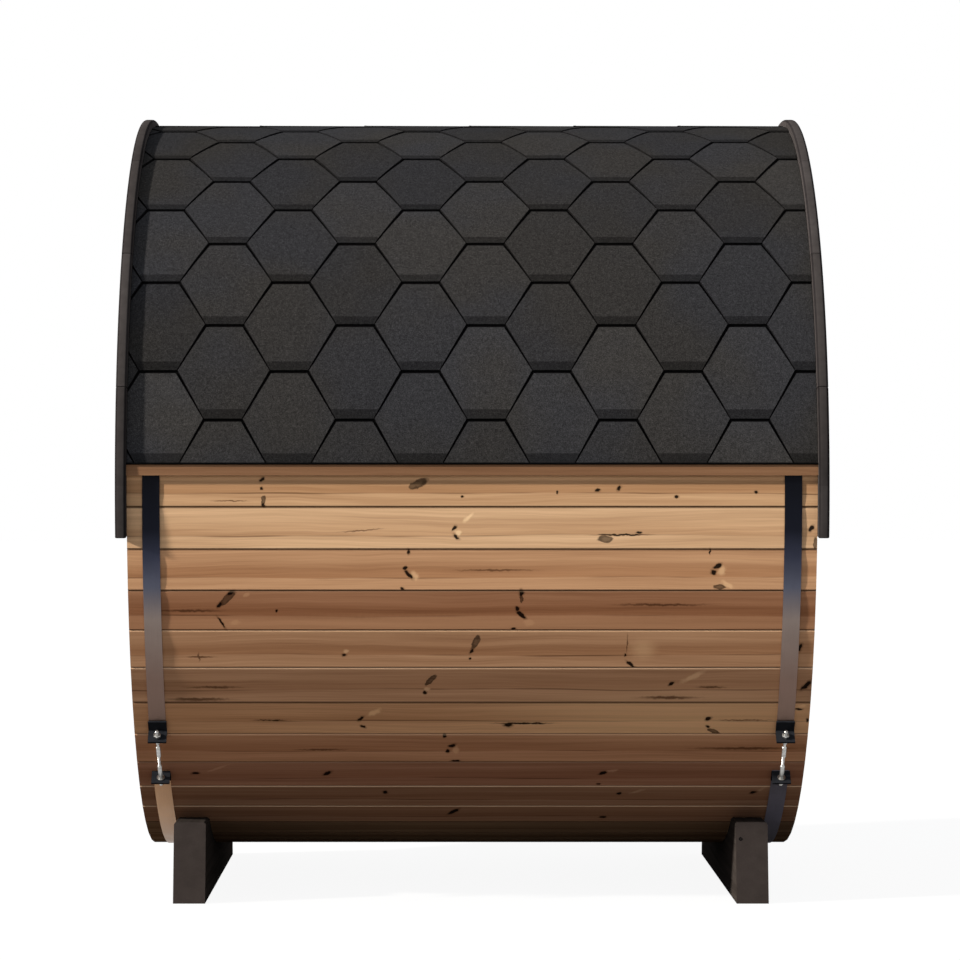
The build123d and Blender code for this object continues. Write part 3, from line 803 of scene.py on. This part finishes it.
def ridge_caps(felt):
    """Lapped cap pieces along the ridge."""
    shape = Shape()
    length = 2 * HALF_LENGTH / RIDGE_PIECES
    for index in range(RIDGE_PIECES):
        x_low = -HALF_LENGTH + index * length
        x_high = min(x_low + length * RIDGE_LAP, HALF_LENGTH)
        first = len(shape.faces)
        tone = random.uniform(*TONE_RANGE)
        arc_slab(shape, x_low, x_high, math.pi / 2 - RIDGE_HALF_ANGLE, math.pi / 2 + RIDGE_HALF_ANGLE,
                 TAB_BASE + RIDGE_STEP * index, (TAB_BASE + RIDGE_LAP_RISE, TAB_BASE + RIDGE_TAIL_RISE), -1,
                 RIDGE_STEPS, tone)
        # Painted shade on the edges: the third of every four faces is the outer one, and the last two are
        # ends
        for face in range(first, len(shape.faces)):
            if (face - first) % 4 != 2 or face >= len(shape.faces) - 2:
                shape.tones[face] *= SIDE_SHADE_TONE
        if index:
            half_angle = RIDGE_HALF_ANGLE + RIDGE_LIP_PROUD / HOOP_RADIUS
            arc_slab(shape, x_low - RIDGE_LIP_PROUD, x_low + RIDGE_LIP, math.pi / 2 - half_angle,
                     math.pi / 2 + half_angle, TAB_BASE + RIDGE_TAIL_RISE / 2,
                     TAB_BASE + RIDGE_LAP_RISE + RIDGE_LIP_PROUD, -1, RIDGE_STEPS, tone * SIDE_SHADE_TONE)
    piece = shape.piece("ridge_caps", felt, "bitumen_shingle")
    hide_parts("ridge_roof")


# Roof-edge boards

FASCIA_WIDTH = 0.095
FASCIA_SEGMENTS = 9
FASCIA_SEGMENT = (math.pi + 2 * FASCIA_DROP) / FASCIA_SEGMENTS
FASCIA_GAP = 0.0005
FASCIA_CHAMFER = 0.0016
FASCIA_ROUND = 0.0075
FASCIA_STEPS = 14
ROUND_STEPS = 5


def rounded_section(width, height, radius, inset=0.0):
    """Points round a rectangle with rounded corners, centred on its middle."""
    points = []
    for corner, (sx, sy) in enumerate(((1, 1), (-1, 1), (-1, -1), (1, -1))):
        for step in range(ROUND_STEPS + 1):
            turn = math.pi / 2 * (corner + step / ROUND_STEPS)
            points.append((
                sx * (width / 2 - radius) + (radius - inset) * math.cos(turn),
                sy * (height / 2 - radius) + (radius - inset) * math.sin(turn),
            ))
    return points


def roof_edge_boards(end, sign, wood):
    """Nine sawn segments with rounded edges, butted along the barrel's end."""
    shape = Shape()
    thickness = fascia_high.x - fascia_low.x
    middle_x = sign * (fascia_low.x + fascia_high.x) / 2
    middle_radius = FASCIA_RADIUS - FASCIA_WIDTH / 2
    half_gap = FASCIA_GAP / 2 / FASCIA_RADIUS
    for segment in range(FASCIA_SEGMENTS):
        start = -FASCIA_DROP + segment * FASCIA_SEGMENT + half_gap
        sweep = FASCIA_SEGMENT - 2 * half_gap
        chamfer = FASCIA_CHAMFER / (sweep * FASCIA_RADIUS)
        stations = [(0.0, FASCIA_CHAMFER), (chamfer, 0.0)]
        stations += [(step / FASCIA_STEPS, 0.0) for step in range(1, FASCIA_STEPS)]
        stations += [(1 - chamfer, 0.0), (1.0, FASCIA_CHAMFER)]
        rings = []
        for share, inset in stations:
            angle = start + sweep * share
            rings.append([on_barrel(middle_x + dx, angle, middle_radius + dr, 1)
                          for dx, dr in rounded_section(thickness, FASCIA_WIDTH, FASCIA_ROUND, inset)])
        loft(shape, rings, flip=True)
    piece = shape.piece(f"{end}_roof_edge_boards", wood, "dark_stained_wood", smooth=True)
    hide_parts(f"{end}_fascia")


# Screws

SCREW_POINTS = 24
SCREW_RADIUS = 0.0048
# Rings of a screw head: share of its radius, rise over the face, and whether the recess shapes it
SCREW_RINGS = (
    (1.0, -0.0010, False), (1.0, 0.0003, False), (0.86, 0.0010, False), (0.50, 0.0010, True),
    (0.42, -0.0010, True),
)
SCREW_LOBES = 6
SCREW_LOBE_DEPTH = 0.16
SCREW_PROUD = 0.0002
FASCIA_SCREW_SHARES = (0.10, 0.90)
FASCIA_SCREW_OFFSET = 0.024
HINGE_KNUCKLE = 0.045
HINGE_THICKNESS = 0.003
HINGE_HALF_HEIGHT = 0.020
HINGE_SCREWS = 4
HINGE_SCREW_INSET = 0.025
POST_SCREW_INSET = 0.014
POST_SCREW_OFFSET = 0.011
CRADLE_LEAN = 35 / 210
CRADLE_SCREW_HEIGHT = 0.167
CRADLE_SCREW_INSET = 0.012


def add_screw(shape, place, outward):
    """A flat screw head with a star recess, lying on a face that looks outward."""
    outward = Vector(outward).normalized()
    side = outward.orthogonal().normalized()
    up = outward.cross(side)
    rings = []
    for share, rise, star in SCREW_RINGS:
        ring = []
        for turn in turns(SCREW_POINTS):
            lobe = 1.0 + SCREW_LOBE_DEPTH * math.cos(SCREW_LOBES * turn) if star else 1.0
            around = side * math.cos(turn) + up * math.sin(turn)
            ring.append(Vector(place) + outward * rise + around * SCREW_RADIUS * share * lobe)
        rings.append(ring)
    loft(shape, rings)


def screws(iron_finish, black):
    """Screws in the roof-edge boards, hinges and cradles."""
    boards = Shape()
    reach = FASCIA_RADIUS - FASCIA_WIDTH / 2
    for sign in (-1, 1):
        face = sign * (fascia_high.x + SCREW_PROUD)
        for segment in range(FASCIA_SEGMENTS):
            for share in FASCIA_SCREW_SHARES:
                for offset in (-FASCIA_SCREW_OFFSET, FASCIA_SCREW_OFFSET):
                    angle = -FASCIA_DROP + (segment + share) * FASCIA_SEGMENT
                    add_screw(boards, on_barrel(face, angle, reach + offset, 1), (sign, 0, 0))
    boards.piece("roof_edge_screws", iron_finish, "black_iron", smooth=True)
    iron = Shape()
    strap_length = hinge_high.y - hinge_low.y - HINGE_KNUCKLE
    spacing = (strap_length - 2 * HINGE_SCREW_INSET) / (HINGE_SCREWS - 1)
    plate = frame_high.x + HINGE_THICKNESS
    for height in (hinge_low.z + HINGE_HALF_HEIGHT, hinge_high.z - HINGE_HALF_HEIGHT):
        for index in range(HINGE_SCREWS):
            add_screw(iron, (plate, hinge_low.y + HINGE_SCREW_INSET + index * spacing, height), (1, 0, 0))
        for offset in (-POST_SCREW_OFFSET, POST_SCREW_OFFSET):
            add_screw(iron, (plate, hinge_high.y - POST_SCREW_INSET, height + offset), (1, 0, 0))
    iron.piece("hinge_screws", iron_finish, "black_iron", smooth=True)
    beam = Shape()
    reach = cradle_high.y - CRADLE_LEAN * CRADLE_SCREW_HEIGHT
    for side in (-1, 1):
        place = (cradle_low.x + CRADLE_SCREW_INSET, side * reach, CRADLE_SCREW_HEIGHT)
        add_screw(beam, place, (0, side, CRADLE_LEAN))
    beam.piece("cradle_screws", black, "black_iron", smooth=True)


# Tightening rods of the hoops

# Sizes of the rods, in millimetres
EAR_THICKNESS = 5.0
ROD_OVERHANG = 22.3
SEAT_DEPTH = 3.0
NUT_HALF = 8.5
NUT_THICKNESS = 8.0
NUT_CLEARANCE = 0.6
NUT_CHAMFER = 1.2
NUT_END_SHARE = 0.88
WASHER_BORE = 5.7
WASHER_RADIUS = 10.5
WASHER_THICKNESS = 1.8
WASHER_GAP = 0.4
ROD_POINTS = 20
ROD_RADIUS = 4.8
ROD_TIP_RADIUS = 3.2
ROD_TIP = 1.5
# Radius of the lower and upper sleeve at the lugs, and length of the step down to the rod
LOWER_SLEEVE = 5.6
UPPER_SLEEVE = 5.4
SLEEVE_STEP = 1.0
# Turned middle of the rod from below to above: place along it and radius
ROD_MIDDLE = (
    (-29.5, 5.6), (-28, 4.4), (-28, 3.0), (6, 3.0), (6, 4.4), (7.5, 5.6), (43, 5.6), (44.5, 4.2), (46, 3.2),
    (54, 3.2), (55.5, 4.4), (57, 5.4),
)
THREAD_LOW = -28.0
THREAD_HIGH = 6.0
THREAD_RADIUS = 3.2
THREAD_PITCH = 1.5
THREAD_DEPTH = 0.45
THREAD_STEPS = 4


def rod_line(node, side):
    """Middle of a bolt with its upward and outward directions, and its half length."""
    low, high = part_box(node)
    middle = (low + high) / 2
    outward = Vector((0, side * math.cos(TENSION_ANGLE), math.sin(TENSION_ANGLE)))
    upward = Vector((0, -side * math.sin(TENSION_ANGLE), math.cos(TENSION_ANGLE)))
    half = max((vertex.co - middle).dot(upward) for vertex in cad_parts[node].data.vertices)
    return (middle, upward, outward), half


def about_rod(line, place, radius, turn):
    """A point about the rod's line, from its place along and radius in millimetres."""
    middle, upward, outward = line
    around = outward * math.cos(turn) + upward.cross(outward) * math.sin(turn)
    return middle + upward * place * MM + around * radius * MM


def add_turned(shape, line, profile, points=ROD_POINTS):
    """A turned piece about the rod's line, from (place along, radius) pairs in millimetres."""
    rings = [[about_rod(line, place, radius, turn) for turn in turns(points)] for place, radius in profile]
    loft(shape, rings, flip=True)


def add_thread(shape, line, low, high, radius):
    """A helical thread between two places on the rod."""
    rings = []
    steps = int((high - low) / THREAD_PITCH * THREAD_STEPS)
    for step in range(steps + 1):
        place = low + (high - low) * step / steps
        ring = []
        for index, turn in enumerate(turns(ROD_POINTS)):
            phase = (place / THREAD_PITCH + index / ROD_POINTS) % 1.0
            reach = radius + THREAD_DEPTH * (1 - abs(2 * phase - 1) * 2)
            ring.append(about_rod(line, place, reach, turn))
        rings.append(ring)
    loft(shape, rings, flip=True)


def add_nut(shape, line, low):
    """A hexagon nut with turned-off corners."""
    high = low + NUT_THICKNESS
    corner = NUT_HALF / math.cos(math.pi / 6)
    end = corner * NUT_END_SHARE
    profile = ((low, end), (low + NUT_CHAMFER, corner), (high - NUT_CHAMFER, corner), (high, end))
    add_turned(shape, line, profile, 6)


def tightening_rod(end, side_name, side, zinc):
    """The threaded rod of one hoop joint, with its sleeves, washers and nuts."""
    shape = Shape()
    node = f"{end}_{side_name}_hoop_bolt"
    line, half = rod_line(node, side)
    tip = half / MM
    ear = tip - ROD_OVERHANG - EAR_THICKNESS
    seat = ear - SEAT_DEPTH
    bare = ((seat + SLEEVE_STEP, ROD_RADIUS), (tip - ROD_TIP, ROD_RADIUS), (tip, ROD_TIP_RADIUS))
    lower_end = (*((-place, radius) for place, radius in bare[::-1]), (-seat, LOWER_SLEEVE))
    add_turned(shape, line, (*lower_end, *ROD_MIDDLE, (seat, UPPER_SLEEVE), *bare))
    add_thread(shape, line, THREAD_LOW, THREAD_HIGH, THREAD_RADIUS)
    nut_place = ear + EAR_THICKNESS + NUT_CLEARANCE
    for low in (nut_place, -nut_place - NUT_THICKNESS):
        add_nut(shape, line, low)
    for low in (ear - WASHER_GAP - WASHER_THICKNESS, WASHER_GAP - ear):
        high = low + WASHER_THICKNESS
        add_turned(shape, line, (
            (low, WASHER_BORE), (low, WASHER_RADIUS), (high, WASHER_RADIUS), (high, WASHER_BORE)))
    piece = shape.piece(f"{end}_{side_name}_tightening_rod", zinc, "zinc_steel", smooth=True)
    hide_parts(node)


# Finishes on the construction


def dress(node, material, bevel=0.0, segments=2):
    """Give a node of the construction its finish, and ease its edges."""
    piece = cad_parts[node]
    piece.data.materials.clear()
    piece.data.materials.append(material)
    if bevel:
        ease = piece.modifiers.new("eased_edges", "BEVEL")
        ease.width = bevel
        ease.segments = segments
        ease.limit_method = "ANGLE"
        ease.angle_limit = math.radians(40)
        ease.use_clamp_overlap = True


def dress_construction():
    """Dress each node by the words in its name; a later row of the table goes over an earlier one."""
    # Painted shade: the back wall's boards are toned darker than the door wall's because the key light falls
    # on that end
    back_boards_shaded = board_wood("back_board_shaded_wood", "z", "y", END_BOARD_WIDTH, (0.50, 0.47, 0.45), BOARD_JOINT)
    door_boards = board_wood("door_wall_wood", "z", "y", END_BOARD_WIDTH, (0.90, 0.86, 0.83), BOARD_JOINT)
    leaf_boards = board_wood("door_board_wood", "z", "y", LEAF_BOARD_WIDTH, (0.96, 0.92, 0.88), BOARD_JOINT)
    posts = board_wood("door_post_wood", "z", "y", POST_PLANK, (0.76, 0.70, 0.66))
    rails = board_wood("rail_wood", "y", "z", RAIL_PLANK, (0.80, 0.74, 0.70))
    # Painted shade: the lath's tint is darkened for the roof edge's shadow over it
    lath = board_wood("lath_shaded_wood", "x", "z", LATH_PLANK, (0.50, 0.45, 0.44))
    iron = plain_metal("black_iron", (0.022, 0.022, 0.024), 0.42, 0.5, (0.045, 0.042, 0.040))
    # Words of the name, finish, and the width and steps of its eased edges
    finishes = (
        ("_staves", stave_wood("floor_wood", 10, 14)),
        ("_lower_side_staves", stave_wood("lower_side_wood", 0, 4)),
        ("_haunch_staves", stave_wood("haunch_wood", 5, 9)),
        ("_upper_hoop", strap_steel("upper_strap_reflection_steel", UPPER_STRAP_REFLECTION_STOPS)),
        ("back_end_lower_hoop", strap_steel("warm_strap_reflection_steel", WARM_STRAP_REFLECTION_STOPS)),
        ("door_end_lower_hoop", strap_steel("cool_strap_reflection_steel", COOL_STRAP_REFLECTION_STOPS, 0.0, MATT)),
        ("_hoop_lugs", lug_steel(), 0.0012),
        ("_lath", lath, 0.0015),
        ("_cradle", cradle_stain(), 0.004, 3),
        ("back_wall", back_boards_shaded, 0.003),
        ("door_wall", door_boards, 0.003),
        ("door_leaf", leaf_boards, 0.003),
        ("door_frame", posts, 0.004),
        ("door_ledges", rails, 0.004),
        ("door_handles", rails, 0.006, 3),
        ("door_hinges", iron, 0.001),
    )
    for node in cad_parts:
        for words, *finish in finishes:
            if words in node:
                dress(node, *finish)
    return iron


# Stage

FLOOR_HALF = 60.0
# A glow and a little of the light's own shade make the floor white where it is seen
FLOOR_GLOW = 0.92
FLOOR_SHOWN = (0.08, 0.08, 0.08, 1.0)
FLOOR_BOUNCE = (0.110, 0.100, 0.090, 1.0)


def floor():
    """A white floor that keeps the shadow; it bounces little light back at the barrel."""
    mesh = bpy.data.meshes.new("floor")
    corners = [(sx * FLOOR_HALF, sy * FLOOR_HALF, 0.0) for sx, sy in ((-1, -1), (1, -1), (1, 1), (-1, 1))]
    mesh.from_pydata(corners, [], [(0, 1, 2, 3)])
    graph = new_finish("floor_white")
    white = graph.add("ShaderNodeEmission", {"Strength": FLOOR_GLOW}).outputs[0]
    soft = graph.add("ShaderNodeBsdfDiffuse", {"Color": FLOOR_SHOWN}).outputs[0]
    dim = graph.add("ShaderNodeBsdfDiffuse", {"Color": FLOOR_BOUNCE}).outputs[0]
    shown = graph.add("ShaderNodeAddShader", {0: white, 1: soft}).outputs[0]
    blend = graph.add("ShaderNodeMixShader", {0: graph.seen(), 1: dim, 2: shown}).outputs[0]
    graph.feed(graph.tree.nodes["Material Output"].inputs["Surface"], blend)
    graph.tree.nodes.remove(graph.shader)
    mesh.materials.append(graph.owner)
    in_scene("floor", mesh)


KEY_DIRECTION = Vector((-3.3, -1.0, 1.4))
KEY_COLOUR = (1.04, 1.0, 0.94)
KEY_STRENGTH = 6.5
KEY_SOFTNESS = math.radians(3)
SKY_COLOUR = (0.95, 1.0, 1.07)
WHITE = (1.0, 1.0, 1.0)
SKY_LOW = 1.05
SKY_HIGH = 0.36


def light():
    """A warm key from the left, and a fill that is brightest at eye level and shows as white."""
    key = bpy.data.lights.new("key", "SUN")
    key.energy = KEY_STRENGTH
    key.color = KEY_COLOUR
    key.angle = KEY_SOFTNESS
    lamp = in_scene("key", key)
    lamp.rotation_euler = KEY_DIRECTION.to_track_quat("Z", "Y").to_euler()
    world = bpy.data.worlds.new("studio")
    bpy.context.scene.world = world
    graph = Graph(world)
    seen = graph.seen()
    height = graph.split(graph.coordinates["Generated"])[2]
    fill = graph.span(height, 0.0, 1.0, SKY_LOW, SKY_HIGH, "LINEAR")
    background = graph.tree.nodes["Background"]
    graph.feed(background.inputs["Strength"], graph.span(seen, 0.0, 1.0, fill, 1.0, "LINEAR"))
    graph.feed(background.inputs["Color"], graph.mix(seen, SKY_COLOUR, WHITE))


CAMERA_PLACE = (-0.081, -9.9, AXIS)
CAMERA_LENS = 132.7
CAMERA_SHIFT = (0.0417, 0.0062)


def camera():
    data = bpy.data.cameras.new("camera")
    data.lens = CAMERA_LENS
    data.sensor_width = 36.0
    data.shift_x, data.shift_y = CAMERA_SHIFT
    seat = in_scene("camera", data)
    seat.location = CAMERA_PLACE
    seat.rotation_euler = (math.pi / 2, 0.0, 0.0)
    bpy.context.scene.camera = seat


def main():
    bpy.context.scene.view_settings.view_transform = "Standard"
    iron = dress_construction()
    felt = shingle_felt()
    roof_side("near_shingles", -1, ("near_lower_roof", "near_upper_roof"), felt)
    roof_side("far_shingles", 1, ("far_lower_roof", "far_upper_roof"), felt)
    ridge_caps(felt)
    fascia_wood = fascia_stain()
    roof_edge_boards("door_end", 1, fascia_wood)
    roof_edge_boards("back_end", -1, fascia_wood)
    zinc = plain_metal("zinc_steel", (0.47, 0.465, 0.45), 0.30, 1.0, (0.33, 0.32, 0.30))
    for end in ("door_end", "back_end"):
        for side_name, side in (("near", -1), ("far", 1)):
            tightening_rod(end, side_name, side, zinc)
    screws(iron, plain_metal("screw_black", (0.004, 0.004, 0.004), 0.60, 0.0, (0.008, 0.008, 0.008), MATT))
    floor()
    light()
    camera()


main()
